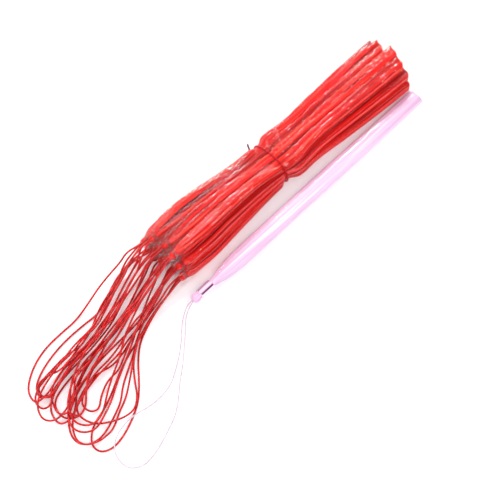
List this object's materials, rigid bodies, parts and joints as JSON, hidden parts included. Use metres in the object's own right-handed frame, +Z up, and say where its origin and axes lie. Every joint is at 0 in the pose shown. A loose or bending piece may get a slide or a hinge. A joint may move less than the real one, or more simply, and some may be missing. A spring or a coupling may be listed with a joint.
{
  "type": "bundle of packed tassels",
  "caption": "Wire-tied bundle of silky red tassels in clear film sleeves with long cord loops, and one loose pale pink tassel beside it.",
  "frame": {"origin": "middle of the lot on the surface it lies on, measured without the loop cords", "axes": "+X along the bundle from the heads to the cut thread ends, +Y to the left of that, +Z up"},
  "size_m": [0.2118, 0.0702, 0.0182],
  "materials": {
    "red_threads": "silky rayon thread",
    "clear_film": "clear glossy film",
    "red_cord": "thin twisted satin cord",
    "red_binding": "wound thread",
    "tie_wire": "coated tie wire",
    "pink_threads": "silky rayon thread",
    "pink_cord": "thin twisted satin cord",
    "pink_binding": "wound thread"
  },
  "bodies": {
    "tied_bundle": {"thread_skirt_01": "red_threads", "thread_skirt_02": "red_threads", "thread_skirt_03": "red_threads", "thread_skirt_04": "red_threads", "thread_skirt_05": "red_threads", "thread_skirt_06": "red_threads", "thread_skirt_07": "red_threads", "thread_skirt_08": "red_threads", "thread_skirt_09": "red_threads", "thread_skirt_10": "red_threads", "thread_skirt_11": "red_threads", "thread_skirt_12": "red_threads", "thread_skirt_13": "red_threads", "thread_skirt_14": "red_threads", "thread_skirt_15": "red_threads", "thread_skirt_16": "red_threads", "thread_skirt_17": "red_threads", "film_sleeve_01": "clear_film", "film_sleeve_02": "clear_film", "film_sleeve_03": "clear_film", "film_sleeve_04": "clear_film", "film_sleeve_05": "clear_film", "film_sleeve_06": "clear_film", "film_sleeve_07": "clear_film", "film_sleeve_08": "clear_film", "film_sleeve_09": "clear_film", "film_sleeve_10": "clear_film", "film_sleeve_11": "clear_film", "film_sleeve_12": "clear_film", "film_sleeve_13": "clear_film", "film_sleeve_14": "clear_film", "film_sleeve_15": "clear_film", "film_sleeve_16": "clear_film", "film_sleeve_17": "clear_film", "hang_loop_01": "red_cord", "hang_loop_02": "red_cord", "hang_loop_03": "red_cord", "hang_loop_04": "red_cord", "hang_loop_05": "red_cord", "hang_loop_06": "red_cord", "hang_loop_07": "red_cord", "hang_loop_08": "red_cord", "hang_loop_09": "red_cord", "hang_loop_10": "red_cord", "hang_loop_11": "red_cord", "hang_loop_12": "red_cord", "hang_loop_13": "red_cord", "hang_loop_14": "red_cord", "hang_loop_15": "red_cord", "hang_loop_16": "red_cord", "hang_loop_17": "red_cord", "neck_bindings": "red_binding", "cord_knots": "red_cord", "tie_ring": "tie_wire", "tie_tail": "tie_wire"},
    "loose_tassel": {"loose_thread_skirt": "pink_threads", "loose_neck_binding": "pink_binding", "loose_cord_knot": "pink_cord", "loose_hang_loop": "pink_cord"},
    "loose_film": {"loose_film_sleeve": "clear_film"}
  },
  "joints": [
    {"name": "loose_tassel_lift", "type": "slide", "parent": "tied_bundle", "child": "loose_tassel", "axis": [0, -0.6, 0.8], "range_m": [0, 0.06]},
    {"name": "loose_film_pull", "type": "slide", "parent": "loose_tassel", "child": "loose_film", "axis": [0.9998, 0.0183, 0], "range_m": [0, 0.121]}
  ]
}
